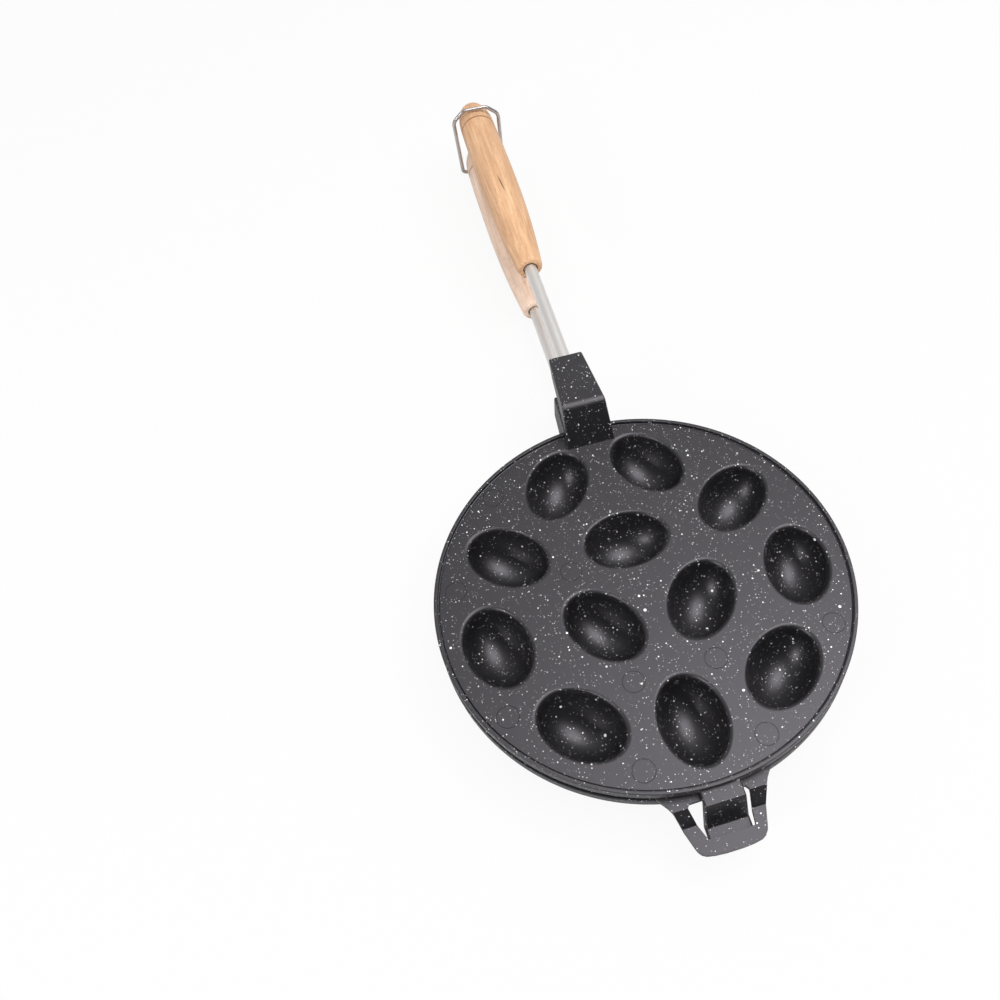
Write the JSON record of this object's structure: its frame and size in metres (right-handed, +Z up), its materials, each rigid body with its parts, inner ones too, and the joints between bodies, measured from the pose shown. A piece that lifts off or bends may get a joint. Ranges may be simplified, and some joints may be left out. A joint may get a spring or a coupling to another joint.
{
  "type": "walnut cookie mold",
  "caption": "Closed round two-half stove-top mold for walnut-shaped cookies, with a hooked hinge, two long wooden-gripped handles and a wire locking bail.",
  "frame": {"origin": "middle of the bounding box at its underside, with the mold closed and locked", "axes": "+Y from the hinge along the handles, +Z up through the closed plates, +X to the right seen from the hinge"},
  "size_m": [0.16, 0.41, 0.0494],
  "materials": {
    "coated_casting": "dark grey speckled non-stick coat",
    "tube_steel": "bright stainless tube",
    "grip_wood": "light sanded beech",
    "fixing_steel": "plain steel",
    "bail_wire": "bright steel wire"
  },
  "bodies": {
    "lower_half": {"lower_mould_half": "coated_casting", "lower_handle_tube": "tube_steel", "lower_grip": "grip_wood", "lower_tube_screw": "fixing_steel", "lower_grip_pin": "fixing_steel"},
    "upper_half": {"upper_mould_half": "coated_casting", "upper_handle_tube": "tube_steel", "upper_grip": "grip_wood", "upper_tube_screw": "fixing_steel", "upper_grip_pin": "fixing_steel"},
    "bail": {"locking_bail": "bail_wire"}
  },
  "joints": [
    {"name": "mould_hinge", "type": "hinge", "parent": "lower_half", "child": "upper_half", "pos_m": [0, -0.199, 0.01591], "axis": [1, 0, 0], "range_deg": [0, 94]},
    {"name": "bail_swing", "type": "hinge", "parent": "lower_half", "child": "bail", "pos_m": [0, 0.1885, 0.00966], "axis": [1, 0, 0], "range_deg": [-250, 0]}
  ]
}
